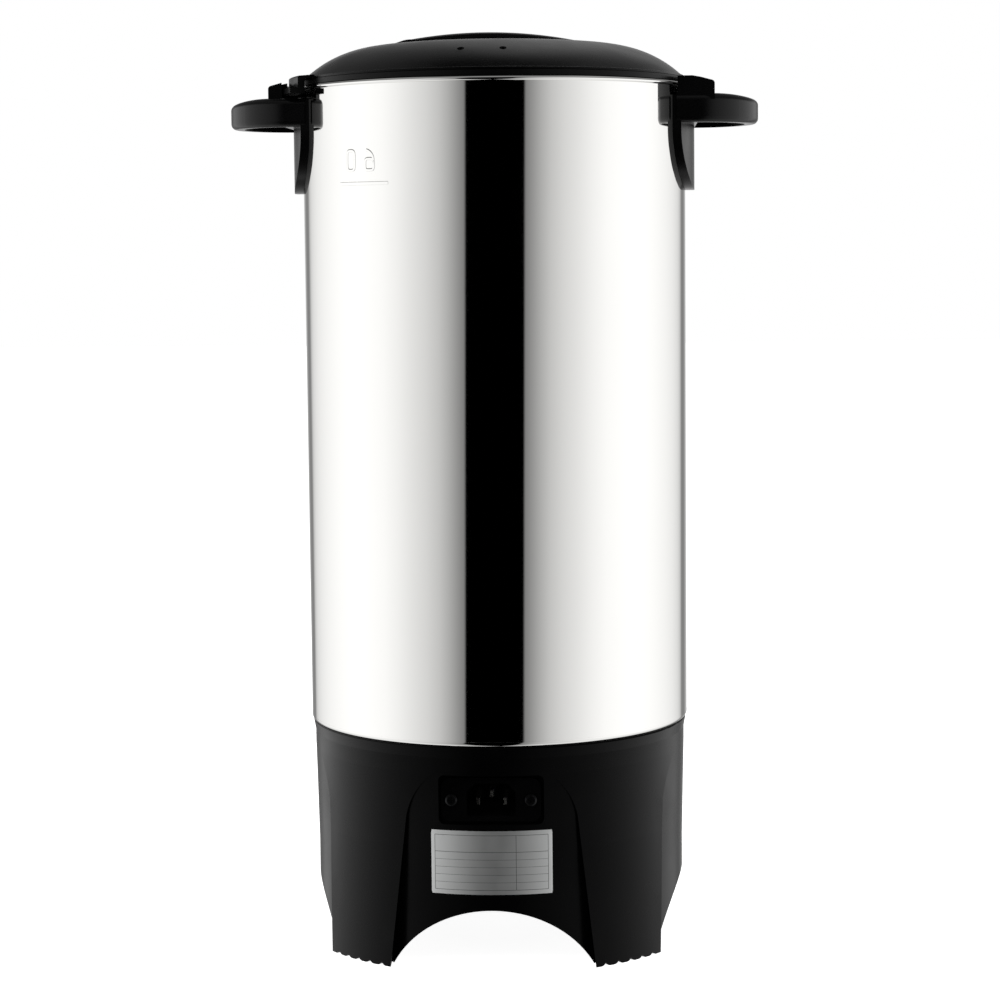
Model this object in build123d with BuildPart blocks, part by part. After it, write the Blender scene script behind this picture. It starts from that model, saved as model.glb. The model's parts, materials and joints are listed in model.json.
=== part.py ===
"""Electric coffee urn: stainless vessel on a four-legged base, with percolator, twist-lock lid and tap.

Millimetres, +Z up. The origin is on the vessel's axis at the level of the feet. The power inlet is at the
back, which faces -Y. The tap and the sight gauge are at the front, which faces +Y. The two handles are on
the X axis.
"""
import math
import os

from build123d import *

# ---- driving dimensions ----------------------------------------------------------------------------
# vessel
vessel_radius = 100.0
vessel_wall = 0.7
rim_height = 446.0
bead_wire_radius = 1.2
# base housing
base_height = 114.3
base_radius = 98.3
foot_radius = 104.6
housing_wall = 2.6
arch_height = 30.7
side_arch_height = 33.0
arch_half_width = 51.0
# lid
lid_radius = 99.5
lid_edge_height = 449.2
lid_crown_height = 468.6
lid_shell = 2.6
lid_turn = 18.0
lid_spigot_radius = 97.4
# handles
handle_reach = 138.0
handle_half_width = 37.5
handle_top = 439.6
handle_bottom = 424.9
# percolator
tube_radius = 6.35
tube_top = 440.0
basket_radius = 78.0
basket_floor = 330.0
basket_rim = 420.0
# tap and gauge
tap_height = 138.0
tap_axis_y = 145.0
gauge_axis_y = 117.0
gauge_tube_radius = 6.0
gauge_tube_top = 404.0
# power inlet and switch
inlet_height = 87.0
inlet_hole_spacing = 40.0
control_height = 80.0
panel_flat_y = 92.6

# ---- places worked out from them ---------------------------------------------------------------------
vessel_bore = vessel_radius - vessel_wall
bead_centre_height = rim_height - bead_wire_radius
bead_centre_radius = vessel_radius - 0.15
floor_ring_inner = 82.0
main_floor_radius = 78.0
main_floor_height = 104.0
well_radius = 30.0
well_height = 96.0
deck_hole_radius = 84.0
front = Plane(origin=(0, 0, 0), x_dir=(-1, 0, 0), z_dir=(0, 1, 0))
back = Plane.XZ
right_side = Plane.YZ

os.makedirs("parts", exist_ok=True)


def save(part, label):
    """Label a finished piece and write its STEP file."""
    part.label = label
    export_step(part, f"parts/{label}.step")


def at_polar(radius, degrees):
    """A point in the XY plane at a radius and an angle from +X."""
    angle = math.radians(degrees)
    return radius * math.cos(angle), radius * math.sin(angle)


def radial_plane(degrees):
    """The upright plane through the vessel's axis at an angle from +X, with local x pointing outwards."""
    return Plane(origin=(0, 0, 0), x_dir=(*at_polar(1, degrees), 0), z_dir=(*at_polar(1, degrees - 90), 0))


def upright_axis(y):
    """A vertical axis in the plane of symmetry, at a distance in front of the vessel's own axis."""
    return Axis((0, y, 0), (0, 0, 1))


def upright_plane(y):
    """The plane across the front for a turned profile about the upright axis at y."""
    return Plane(origin=(0, y, 0), x_dir=(1, 0, 0), z_dir=(0, -1, 0))


# ---- vessel: one drawn stainless shell with a heating well and a rolled rim --------------------------
with BuildPart() as vessel:
    with BuildSketch(Plane.XZ) as wall_section:
        with BuildLine():
            Polyline(
                (0, well_height),
                (well_radius, well_height),
                (well_radius + 2, main_floor_height),
                (main_floor_radius, main_floor_height),
                (floor_ring_inner, base_height),
                (vessel_radius, base_height),
                (vessel_radius, bead_centre_height),
                (vessel_bore, bead_centre_height),
                (vessel_bore, base_height + vessel_wall),
                (floor_ring_inner - vessel_wall, base_height + vessel_wall),
                (main_floor_radius - vessel_wall, main_floor_height + vessel_wall),
                (well_radius + 2 - vessel_wall, main_floor_height + vessel_wall),
                (well_radius - vessel_wall, well_height + vessel_wall),
                (0, well_height + vessel_wall),
                close=True,
            )
        make_face()
        fillet(wall_section.vertices().sort_by_distance((vessel_radius, base_height))[0], 2.2)
        fillet(wall_section.vertices().sort_by_distance((vessel_bore, base_height + vessel_wall))[0], 1.5)
    revolve(axis=Axis.Z)
    with BuildSketch(Plane.XZ):
        with Locations((bead_centre_radius, bead_centre_height)):
            Circle(bead_wire_radius)
    revolve(axis=Axis.Z)
    # tap shank, gauge stud and handle screws pass through the wall
    shank_hole_radius = 8.25
    stud_hole_radius = 2.1
    gauge_stud_height = 409.0
    handle_screw_heights = (404.0, 431.0)
    for height, radius in ((tap_height, shank_hole_radius), (gauge_stud_height, stud_hole_radius)):
        with BuildSketch(front.offset(90)):
            with Locations((0, height)):
                Circle(radius)
        extrude(amount=20, mode=Mode.SUBTRACT)
    with BuildSketch(right_side):
        with Locations(*[(0, height) for height in handle_screw_heights]):
            Circle(stud_hole_radius)
    extrude(amount=vessel_radius + 10, both=True, mode=Mode.SUBTRACT)
save(vessel.part, "vessel")

# ---- base housing: a flared black moulding on four legs with an arch between each pair ----------------
# The panels between the legs stand back from the flare and fade into it at the top. The side panels are
# wider than the ones at the back and front.
panel_fade_height = 103.0
panel_top_height = 101.0
panel_shoulder_height = 78.0
back_panel = (43.2, 37.8, 28.0, 52.2)  # half-widths at the shoulder, the bend, the top and the floor
side_panel = (48.9, 42.0, 31.0, 61.1)
panel_bend_height = 91.0
panel_radius = 97.2
flare_bend_radius = 100.1
flare_bend_height = 62.0
under_space_radius = 72.0
cover_seat_radius = 70.5
cover_hole_radius = 62.0
cover_screw_circle = 66.3
roof_top = side_arch_height + 3.5
leg_taper_top = 100.0
leg_heading = 90 - 41.8  # a leg's middle, from +X
notch_pitch = 4.4
notch_half_width = 3.0
notch_depth = 1.9
recess_size = (53.0, 25.0)
inlet_cut_out = (27.6, 20.6)
switch_cut_out = (13.2, 19.2)
switch_x = 11.0
lamp_hole_radius = 4.1
lamp_x = -13.0


def arch_outline(rise, wall):
    """Sketch of the round arch between two legs, grown by a wall's thickness."""
    half_width = arch_half_width + wall
    with BuildSketch() as outline:
        with BuildLine():
            ThreePointArc((-half_width, 0), (0, rise + wall), (half_width, 0))
            Line((half_width, 0), (-half_width, 0))
        make_face()
    return outline.sketch


def panel_cutter(shoulder, bend, top, floor):
    """Arch-topped block in front of one back panel, outside the panel's own surface."""
    with BuildPart() as cutter:
        with BuildSketch(back.offset(60)):
            with BuildLine():
                Polyline(
                    (shoulder, panel_shoulder_height),
                    (floor, -1),
                    (-floor, -1),
                    (-shoulder, panel_shoulder_height),
                )
                for side in (1, -1):
                    ThreePointArc(
                        (side * shoulder, panel_shoulder_height),
                        (side * bend, panel_bend_height),
                        (side * top, panel_top_height),
                    )
                Line((top, panel_top_height), (-top, panel_top_height))
            make_face()
        extrude(amount=60)
        with BuildSketch(Plane.XZ):
            with BuildLine():
                Polyline(
                    (base_radius, panel_fade_height),
                    (panel_radius, 50),
                    (panel_radius, -1),
                    (foot_radius + 8, -1),
                    (foot_radius + 8, panel_fade_height),
                    close=True,
                )
            make_face()
        revolve(axis=Axis.Z, mode=Mode.INTERSECT)
    return cutter.part


def panel_backing(floor):
    """Wall behind one back panel."""
    with BuildPart() as backing:
        with BuildSketch(back.offset(50)):
            with Locations((0, 45)):
                Rectangle(2 * (floor + housing_wall), 130)
        extrude(amount=70)
        with BuildSketch(Plane.XZ):
            with Locations((105, 50)):
                Rectangle(2 * (105 - panel_radius + housing_wall), 160)
        revolve(axis=Axis.Z, mode=Mode.INTERSECT)
    return backing.part


def notch_plane(heading):
    """Plane across a foot's sole for a notch that runs outwards, with local x along the sole."""
    along_sole = (*at_polar(1, heading + 90), 0)
    return Plane(origin=(*at_polar(60, heading), 0), x_dir=along_sole, z_dir=(*at_polar(1, heading), 0))


arches = (
    (back, arch_outline(arch_height, 0), arch_outline(arch_height, housing_wall)),
    (right_side, arch_outline(side_arch_height, 0), arch_outline(side_arch_height, housing_wall)),
)
back_cutter = panel_cutter(*back_panel)
side_cutter = panel_cutter(*side_panel)
back_backing = panel_backing(back_panel[3])
side_backing = panel_backing(side_panel[3])

with BuildPart() as housing_cavity:
    # the room inside, within the flare
    with BuildSketch(Plane.XZ):
        with BuildLine():
            Polyline(
                (0, 3),
                (foot_radius - housing_wall, 3),
                (flare_bend_radius - housing_wall, flare_bend_height),
                (base_radius - housing_wall, leg_taper_top),
                (base_radius - housing_wall, base_height - 3),
                (0, base_height - 3),
                close=True,
            )
        make_face()
    revolve(axis=Axis.Z)
    # less the walls behind the four panels
    for turn in (0, 180):
        add(back_backing.rotate(Axis.Z, turn), mode=Mode.SUBTRACT)
        add(side_backing.rotate(Axis.Z, turn + 90), mode=Mode.SUBTRACT)
    # less the walls over the arches and round the space under the base
    for plane, _, walled_arch in arches:
        with BuildSketch(plane.offset(-120)):
            add(walled_arch)
        extrude(amount=240, mode=Mode.SUBTRACT)
    with BuildSketch(Plane.XY):
        Circle(under_space_radius + housing_wall)
    extrude(amount=roof_top, mode=Mode.SUBTRACT)

with BuildPart() as base_housing:
    with BuildSketch(Plane.XZ) as flare:
        with BuildLine():
            Polyline(
                (0, 0),
                (foot_radius, 0),
                (flare_bend_radius, flare_bend_height),
                (base_radius, leg_taper_top),
                (base_radius, base_height - 6),
                (base_radius + 1.1, base_height),
                (0, base_height),
                close=True,
            )
        make_face()
        fillet(flare.vertices().sort_by_distance((base_radius + 1.1, base_height))[0], 0.8)
    revolve(axis=Axis.Z)
    for turn in (0, 180):
        add(back_cutter.rotate(Axis.Z, turn), mode=Mode.SUBTRACT)
        add(side_cutter.rotate(Axis.Z, turn + 90), mode=Mode.SUBTRACT)
    add(housing_cavity.part, mode=Mode.SUBTRACT)
    # deck hole that the vessel's floor drops through
    with BuildSketch(Plane.XY.offset(base_height - 4)):
        Circle(deck_hole_radius)
    extrude(amount=10, mode=Mode.SUBTRACT)
    # four arches and the space under the base
    for plane, arch, _ in arches:
        with BuildSketch(plane.offset(-120)):
            add(arch)
        extrude(amount=240, mode=Mode.SUBTRACT)
    with BuildSketch(Plane.XY):
        Circle(under_space_radius)
    extrude(amount=arch_height, mode=Mode.SUBTRACT)
    # service hole in the roof, with a step that seats the bottom cover
    with BuildSketch(Plane.XY):
        Circle(cover_hole_radius)
    extrude(amount=roof_top + 1, mode=Mode.SUBTRACT)
    with BuildSketch(Plane.XY.offset(arch_height - 1)):
        Circle(cover_seat_radius)
    extrude(amount=3.2, mode=Mode.SUBTRACT)
    # bosses for the cover's screws
    with BuildSketch(Plane.XY.offset(roof_top)):
        with PolarLocations(cover_screw_circle + 1.2, 4, start_angle=45):
            Circle(4.5)
    extrude(amount=8)
    with BuildSketch(Plane.XY.offset(arch_height)):
        with PolarLocations(cover_screw_circle, 4, start_angle=45):
            Circle(1.6)
    extrude(amount=11, mode=Mode.SUBTRACT)
    # scalloped soles: five radial notches between rounded bumps across each foot
    for leg_middle in (leg_heading, 180 - leg_heading, 180 + leg_heading, -leg_heading):
        for notch in range(-2, 3):
            with BuildSketch(notch_plane(leg_middle + notch * notch_pitch)):
                with BuildLine():
                    Polyline(
                        (-notch_half_width, 0),
                        (-notch_half_width, -1),
                        (notch_half_width, -1),
                        (notch_half_width, 0),
                    )
                    for side in (1, -1):
                        ThreePointArc((side * notch_half_width, 0), (side * 1.2, 0.5), (0, notch_depth))
                make_face()
            extrude(amount=60, mode=Mode.SUBTRACT)
    # flat recesses and cut-outs for the power inlet at the back, and for the switch and lamp at the front
    for plane, height in ((back, inlet_height), (front, control_height)):
        with BuildSketch(plane.offset(panel_flat_y)):
            with Locations((0, height)):
                RectangleRounded(*recess_size, 3)
        extrude(amount=20, mode=Mode.SUBTRACT)
        with BuildSketch(plane.offset(panel_flat_y)):
            with Locations((0, height)):
                RectangleRounded(recess_size[0] + 4, recess_size[1] + 4, 4)
        extrude(amount=-housing_wall)
    with BuildSketch(back.offset(panel_flat_y - 10)):
        with Locations((0, inlet_height)):
            Rectangle(*inlet_cut_out)
            with GridLocations(inlet_hole_spacing, 0, 2, 1):
                Circle(1.6)
    extrude(amount=20, mode=Mode.SUBTRACT)
    with BuildSketch(front.offset(panel_flat_y - 10)):
        with Locations((switch_x, control_height)):
            Rectangle(*switch_cut_out)
        with Locations((lamp_x, control_height)):
            Circle(lamp_hole_radius)
    extrude(amount=20, mode=Mode.SUBTRACT)
save(base_housing.part, "base_housing")

# ---- bottom cover with cooling slots, its screws and the tie stud --------------------------------------
cover_thickness = 2.0
with BuildPart() as bottom_cover:
    with BuildSketch(Plane.XY.offset(arch_height + 0.1)):
        Circle(cover_seat_radius - 0.4)
        with PolarLocations(cover_screw_circle, 4, start_angle=45):
            Circle(1.9, mode=Mode.SUBTRACT)
        with PolarLocations(40, 12):
            SlotOverall(22, 3.2, mode=Mode.SUBTRACT)
        Circle(3.3, mode=Mode.SUBTRACT)
    extrude(amount=cover_thickness)
    # stiffening ring and a thick centre round the stud
    with BuildSketch(Plane.XY.offset(arch_height + 0.1 + cover_thickness)):
        Circle(57)
        Circle(55, mode=Mode.SUBTRACT)
        Circle(12)
        Circle(3.3, mode=Mode.SUBTRACT)
    extrude(amount=3)
save(bottom_cover.part, "bottom_cover")

with BuildPart() as cover_screws:
    with BuildSketch(Plane.XY.offset(arch_height - 1.9)):
        with PolarLocations(cover_screw_circle, 4, start_angle=45):
            Circle(3.2)
    extrude(amount=1.95)
    chamfer(cover_screws.edges().group_by(Axis.Z)[0], 0.7)
    with BuildSketch(Plane.XY.offset(arch_height)):
        with PolarLocations(cover_screw_circle, 4, start_angle=45):
            Circle(1.5)
    extrude(amount=10)
save(cover_screws.part, "cover_screws")

stud_bottom = 24.5
with BuildPart() as tie_stud:
    with BuildSketch(Plane.XY.offset(stud_bottom)):
        Circle(3.0)
    extrude(amount=well_height - stud_bottom)
    chamfer(tie_stud.edges().group_by(Axis.Z)[0], 0.6)
save(tie_stud.part, "tie_stud")

with BuildPart() as tie_nut:
    with BuildSketch(Plane.XY.offset(arch_height - 0.9)):
        Circle(8)
        Circle(3.2, mode=Mode.SUBTRACT)
    extrude(amount=1.0)
    with BuildSketch(Plane.XY.offset(arch_height - 5.9)):
        RegularPolygon(5.77, 6)
        Circle(3.05, mode=Mode.SUBTRACT)
    extrude(amount=5.0)
save(tie_nut.part, "tie_nut")

# ---- electrical parts under the vessel -----------------------------------------------------------------
# The cast brewing heater grips the underside of the well, and the keep-warm ring lies under the main floor.
with BuildPart() as brew_heater:
    with BuildSketch(Plane.XZ):
        with BuildLine():
            Polyline((6, 84), (22, 84), (27, 88), (27, 95.9), (6, 95.9), close=True)
        make_face()
    revolve(axis=Axis.Z)
    with BuildSketch(Plane.XY.offset(84)):
        with Locations((16, 8), (16, -8)):
            Circle(2.2)
    extrude(amount=-12)
save(brew_heater.part, "brew_heater")

with BuildPart() as heat_plate:
    with BuildSketch(Plane.XY.offset(main_floor_height - 2.6)):
        Circle(64)
        Circle(36, mode=Mode.SUBTRACT)
    extrude(amount=2.5)
save(heat_plate.part, "heat_plate")

element_circle = 49.0
element_radius = 3.2
element_gap = 15.0  # half the angle between the ring's two ends
element_height = main_floor_height - 2.6 - 3.3
element_ends = (at_polar(element_circle, element_gap), at_polar(element_circle, -element_gap))
with BuildPart() as warm_element:
    with BuildSketch(radial_plane(element_gap)):
        with Locations((element_circle, element_height)):
            Circle(element_radius)
    revolve(axis=Axis.Z, revolution_arc=360 - 2 * element_gap)
    with BuildSketch(Plane.XY.offset(element_height)):
        with Locations(*element_ends):
            Circle(element_radius)
    extrude(amount=-16)
    with Locations(*[(*end, element_height) for end in element_ends]):
        Sphere(element_radius)
save(warm_element.part, "warm_element")

with BuildPart() as thermostat:
    with BuildSketch(Plane.XY.offset(main_floor_height - 2)):
        with Locations((-71, 0)):
            Circle(6.5)
    extrude(amount=1.9)
    with BuildSketch(Plane.XY.offset(main_floor_height - 10)):
        with Locations((-71, 0)):
            Circle(5.8)
    extrude(amount=8)
    with BuildSketch(Plane.XY.offset(main_floor_height - 10)):
        with Locations((-71, 4), (-71, -4)):
            Rectangle(1, 3.5)
    extrude(amount=-9)
save(thermostat.part, "thermostat")

with BuildPart() as thermal_fuse:
    with BuildSketch(right_side.offset(-8)):
        with Locations((-70, main_floor_height - 2.6)):
            Circle(2.0)
    extrude(amount=16)
    with BuildSketch(right_side.offset(-16)):
        with Locations((-70, main_floor_height - 2.6)):
            Circle(0.5)
    extrude(amount=32)
save(thermal_fuse.part, "thermal_fuse")

# ---- power inlet: flanged socket with three blades ------------------------------------------------------
flange_thickness = 2.4
inlet_mouth_y = panel_flat_y + flange_thickness
with BuildPart() as inlet_socket:
    with BuildSketch(back.offset(panel_flat_y + 0.02)):
        with Locations((0, inlet_height)):
            RectangleRounded(50, 22, 5)
    extrude(amount=flange_thickness)
    with BuildSketch(back.offset(panel_flat_y + 0.02)):
        with Locations((0, inlet_height)):
            Rectangle(27, 20)
    extrude(amount=-22)
    with BuildSketch(back.offset(inlet_mouth_y + 1)) as socket_outline:
        with Locations((0, inlet_height)):
            Rectangle(24.4, 16.6)
        chamfer(socket_outline.vertices().group_by(Axis.Y)[-1], 4.2)
    extrude(amount=-17, mode=Mode.SUBTRACT)
    with BuildSketch(back.offset(inlet_mouth_y + 1)):
        with Locations((0, inlet_height)):
            with GridLocations(inlet_hole_spacing, 0, 2, 1):
                Circle(1.7)
    extrude(amount=-8, mode=Mode.SUBTRACT)
    # passages for the blades through the back wall
    blade_places = ((-7, inlet_height - 2), (7, inlet_height - 2), (0, inlet_height + 2))
    with BuildSketch(back.offset(inlet_mouth_y)):
        with Locations(*blade_places):
            Rectangle(2.04, 4.04)
    extrude(amount=-30, mode=Mode.SUBTRACT)
save(inlet_socket.part, "inlet_socket")

with BuildPart() as inlet_blades:
    with BuildSketch(back.offset(62)):
        with Locations(*blade_places):
            Rectangle(2, 4)
    extrude(amount=inlet_mouth_y - 5.6 - 62)
    chamfer(inlet_blades.edges().group_by(Axis.Y)[0], 0.45)
save(inlet_blades.part, "inlet_blades")

with BuildPart() as inlet_screws:
    with BuildSketch(back.offset(inlet_mouth_y + 0.05)):
        with Locations((0, inlet_height)):
            with GridLocations(inlet_hole_spacing, 0, 2, 1):
                Circle(3.0)
    extrude(amount=1.9)
    chamfer(inlet_screws.edges().group_by(Axis.Y)[0], 0.8)
    with BuildSketch(back.offset(inlet_mouth_y + 0.1)):
        with Locations((0, inlet_height)):
            with GridLocations(inlet_hole_spacing, 0, 2, 1):
                Circle(1.5)
    extrude(amount=-9)
    # cross recess
    with BuildSketch(back.offset(inlet_mouth_y + 1.0)):
        with Locations((0, inlet_height)):
            with GridLocations(inlet_hole_spacing, 0, 2, 1):
                Rectangle(3.2, 0.7)
                Rectangle(0.7, 3.2)
    extrude(amount=3, mode=Mode.SUBTRACT)
save(inlet_screws.part, "inlet_screws")

# ---- rocker switch and indicator lamp -------------------------------------------------------------------
rocker_radius = 8.0
rocker_pivot_y = 91.4
rocker_travel = 16.0
rocker_ridge = 4.0
with BuildPart() as switch_body:
    with BuildSketch(front.offset(panel_flat_y + 0.02)):
        with Locations((switch_x, control_height)):
            RectangleRounded(15, 21, 1)
    extrude(amount=2)
    fillet(switch_body.edges().group_by(Axis.Y)[-1], 0.7)
    with BuildSketch(front.offset(panel_flat_y + 0.02)):
        with Locations((switch_x, control_height)):
            Rectangle(switch_cut_out[0] - 0.3, switch_cut_out[1] - 0.3)
    extrude(amount=-14)
    # hollow that the rocker turns in
    with BuildSketch(front.offset(rocker_pivot_y)):
        with Locations((switch_x, control_height)):
            Rectangle(10.4, 2 * rocker_radius + 0.5)
    extrude(amount=10, mode=Mode.SUBTRACT)
    with BuildSketch(right_side.offset(-switch_x - 5.2)):
        with Locations((rocker_pivot_y, control_height)):
            Circle(rocker_radius + 0.25)
    extrude(amount=10.4, mode=Mode.SUBTRACT)
    # terminals
    with BuildSketch(front.offset(panel_flat_y - 14)):
        with Locations((switch_x, control_height + 5), (switch_x, control_height - 5)):
            Rectangle(4.8, 0.8)
    extrude(amount=-8)
save(switch_body.part, "switch_body")

with BuildPart() as switch_rocker:
    with BuildSketch(right_side.offset(-switch_x - 5)) as rocker_side:
        with Locations((rocker_pivot_y, control_height)):
            Circle(rocker_radius)
        # the pressed half is flush, and the other half stands up at the rocker's travel
        rise = 12 * math.tan(math.radians(rocker_travel))
        ridge_y = rocker_pivot_y + rocker_ridge
        with BuildLine():
            Polyline(
                (ridge_y, control_height),
                (ridge_y, control_height - 12),
                (ridge_y + 12, control_height - 12),
                (ridge_y + 12, control_height + 12),
                (ridge_y + rise, control_height + 12),
                close=True,
            )
        make_face(mode=Mode.SUBTRACT)
    extrude(amount=10)
    chamfer(switch_rocker.edges().filter_by(GeomType.LINE).filter_by(Axis.X, reverse=True), 0.4)
save(switch_rocker.part, "switch_rocker")

with BuildPart() as indicator_lamp:
    with BuildSketch(front.offset(panel_flat_y + 0.02)):
        with Locations((lamp_x, control_height)):
            Circle(5.2)
    extrude(amount=1.6)
    with BuildSketch(front.offset(panel_flat_y + 1.6)):
        with Locations((lamp_x, control_height)):
            Circle(3.8)
    extrude(amount=2.0)
    fillet(indicator_lamp.edges().group_by(Axis.Y)[-1], 1.2)
    with BuildSketch(front.offset(panel_flat_y + 0.02)):
        with Locations((lamp_x, control_height)):
            Circle(lamp_hole_radius - 0.1)
    extrude(amount=-18)
save(indicator_lamp.part, "indicator_lamp")

# ---- handles: pad on the vessel, hollow grip and the slot that the lid's tab turns into ------------------
grip_root = 95.0
grip_round_start = 106.0
grip_crown_start = 114.0
grip_crown_radius = 110.0
pocket_start = 105.6
pocket_half_width = 34.5
pocket_reach = 131.0
pocket_roof = 435.4
pad_half_width = 36.8
pad_bottom = 391.3
pad_top = handle_top - 0.7
pad_outer_x = 104.8
pad_outer_radius = 95.0
hood_face_x = 114.4
hood_open_end = 32.0
hood_bottom = 436.5
hood_inner_radius = 102.4
slot_floor = 440.4
slot_roof = 445.1
slot_inner_radius = 101.5
slot_wall_radius = 112.0
roof_inner_radius = 107.8
roof_end_angle = 11.0
tab_half_angle = 6.5
stop_angle = tab_half_angle + 0.6
screw_reaches = ((handle_screw_heights[0], 103.8), (handle_screw_heights[1], 110.5))


def side_plane(side, height):
    """Upright plane facing outwards at one handle, whose origin is at a height on the vessel's axis."""
    return Plane(origin=(0, 0, height), x_dir=(*at_polar(1, side + 90), 0), z_dir=(*at_polar(1, side), 0))


def grip_plan(inner_x, half_width, reach, corner_radius):
    """Outline with straight sides and a round end made of three arcs, each tangent to the next."""
    length = reach - grip_round_start
    corner_y = half_width - corner_radius
    tip_radius = (length**2 + corner_y**2 - corner_radius**2) / (2 * (length - corner_radius))
    corner_arc = math.degrees(math.atan2(tip_radius - length, corner_y))
    with BuildSketch() as plan:
        with BuildLine():
            edge = Line((inner_x, half_width), (grip_round_start, half_width))
            corner = JernArc(edge @ 1, edge % 1, corner_radius, -corner_arc)
            tip = JernArc(corner @ 1, corner % 1, tip_radius, -2 * (90 - corner_arc))
            last = JernArc(tip @ 1, tip % 1, corner_radius, -corner_arc)
            Polyline(last @ 1, (inner_x, -half_width), (inner_x, half_width))
        make_face()
    return plan.sketch


outer_plan = grip_plan(grip_root, handle_half_width, handle_reach, 28.5)
pocket_plan = grip_plan(pocket_start, pocket_half_width, pocket_reach, 19.5)

with BuildPart() as grip_pocket:
    # finger room under the grip
    with BuildSketch(Plane.XY.offset(handle_bottom - 1)):
        add(pocket_plan)
    extrude(amount=pocket_roof - handle_bottom + 1)
    fillet(grip_pocket.edges().group_by(Axis.Z)[-1], 3.5)

with BuildPart() as handle_pad:
    # shield-shaped plate, rounder than the vessel that it lies on
    with BuildSketch(right_side.offset(80)) as pad_outline:
        with Locations((0, (pad_bottom + pad_top) / 2)):
            Rectangle(2 * pad_half_width, pad_top - pad_bottom)
        fillet(pad_outline.vertices().group_by(Axis.Y)[0], 31)
    extrude(amount=30)
    with BuildSketch(Plane.XY.offset(380)):
        with Locations((pad_outer_x - pad_outer_radius, 0)):
            Circle(pad_outer_radius)
    extrude(amount=80, mode=Mode.INTERSECT)

with BuildPart() as handle_grip:
    # round-ended plan with a crowned top
    with BuildSketch(Plane.XY.offset(handle_bottom)):
        add(outer_plan)
    extrude(amount=handle_top - handle_bottom)
    with BuildSketch(Plane.XZ):
        with BuildLine():
            crown_centre = (grip_crown_start, handle_top - grip_crown_radius)
            crown = CenterArc(crown_centre, grip_crown_radius, start_angle=90, arc_size=-14)
            Polyline(crown @ 1, crown @ 1 + (0, -20), (90, handle_bottom - 1), (90, handle_top), crown @ 0)
        make_face()
    extrude(amount=handle_half_width + 5, both=True, mode=Mode.INTERSECT)
    upper_edges = handle_grip.edges().filter_by(lambda e: e.center().Z > handle_top - 6 and e.length > 15)
    fillet(upper_edges.filter_by(lambda e: e.center().X > 100), 3)
    fillet(handle_grip.edges().group_by(Axis.Z)[0].filter_by(lambda e: e.center().X > 99), 3)

with BuildPart() as handle_right:
    add(handle_grip.part)
    add(grip_pocket.part, mode=Mode.SUBTRACT)
    # boss for the upper screw
    with BuildSketch(side_plane(0, handle_screw_heights[1]).offset(100)):
        Circle(4.3)
    extrude(amount=12)
    add(handle_pad.part)
    # hood over the grip's root, flush with the handle's side at the closed end of the slot
    with BuildSketch(back.offset(-hood_open_end)) as hood_side:
        with BuildLine():
            Polyline(
                (grip_root, 448.5),
                (103, 448.5),
                (107, 447.8),
                (hood_face_x, 445.8),
                (hood_face_x, hood_bottom),
                (grip_root, hood_bottom),
                close=True,
            )
        make_face()
        fillet(hood_side.vertices().sort_by_distance((hood_face_x, 445.8))[0], 1.8)
    extrude(amount=hood_open_end + pad_half_width)
    # the slot, open at one end, and the gap inside its roof for the tab's riser
    with BuildSketch(radial_plane(-stop_angle)):
        with BuildLine():
            Polyline(
                (slot_inner_radius, slot_floor),
                (slot_wall_radius, slot_floor),
                (slot_wall_radius, slot_roof),
                (roof_inner_radius, slot_roof),
                (roof_inner_radius, 452),
                (slot_inner_radius, 452),
                close=True,
            )
        make_face()
    revolve(axis=Axis.Z, revolution_arc=40, mode=Mode.SUBTRACT)
    # the roof ends here, and the outer wall runs on
    with BuildSketch(radial_plane(roof_end_angle)):
        with Locations(((slot_inner_radius + slot_wall_radius) / 2, 446)):
            Rectangle(slot_wall_radius - slot_inner_radius, 12)
    revolve(axis=Axis.Z, revolution_arc=30, mode=Mode.SUBTRACT)
    # hollow that fits the vessel, and the screw holes
    with BuildSketch(Plane.XY.offset(380)):
        Circle(vessel_radius + 0.05)
    extrude(amount=80, mode=Mode.SUBTRACT)
    with BuildSketch(Plane.XY.offset(slot_floor)):
        Circle(hood_inner_radius)
    extrude(amount=20, mode=Mode.SUBTRACT)
    for height, tip in screw_reaches:
        with BuildSketch(side_plane(0, height).offset(90)):
            Circle(1.95)
        extrude(amount=tip + 0.3 - 90, mode=Mode.SUBTRACT)
save(handle_right.part, "handle_right")

with BuildPart() as handle_left:
    add(handle_right.part.rotate(Axis.Z, 180))
save(handle_left.part, "handle_left")

with BuildPart() as handle_screws:
    for side in (0, 180):
        for height, tip in screw_reaches:
            with BuildSketch(side_plane(side, height).offset(95.6)):
                Circle(4.0)
            extrude(amount=2.4)
            with BuildSketch(side_plane(side, height).offset(97)):
                Circle(1.9)
            extrude(amount=tip - 97)
save(handle_screws.part, "handle_screws")

with BuildPart() as handle_washers:
    for side in (0, 180):
        for height in handle_screw_heights:
            with BuildSketch(side_plane(side, height).offset(98.02)):
                Circle(4.4)
                Circle(1.95, mode=Mode.SUBTRACT)
            extrude(amount=3)
    with BuildSketch(Plane.XY.offset(380)):
        Circle(vessel_bore - 0.02)
    extrude(amount=80, mode=Mode.INTERSECT)
save(handle_washers.part, "handle_washers")

# ---- lid: domed shell with a finger well, a spigot inside the rim and two locking tabs -----------------
well_top_radius = 46.0
grip_screw_reach = 51.5
grip_boss_bottom = 464.3
well_floor_radius = 39.0
well_floor_height = 450.0
crown_radius = 876.0
shoulder_start = 62.0
shoulder_radius = 59.5
shoulder_slope = math.degrees(math.asin(shoulder_start / crown_radius))
shoulder_start_height = lid_crown_height - crown_radius * (1 - math.cos(math.radians(shoulder_slope)))
shoulder_centre = (
    shoulder_start - shoulder_radius * math.sin(math.radians(shoulder_slope)),
    shoulder_start_height - shoulder_radius * math.cos(math.radians(shoulder_slope)),
)


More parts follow.
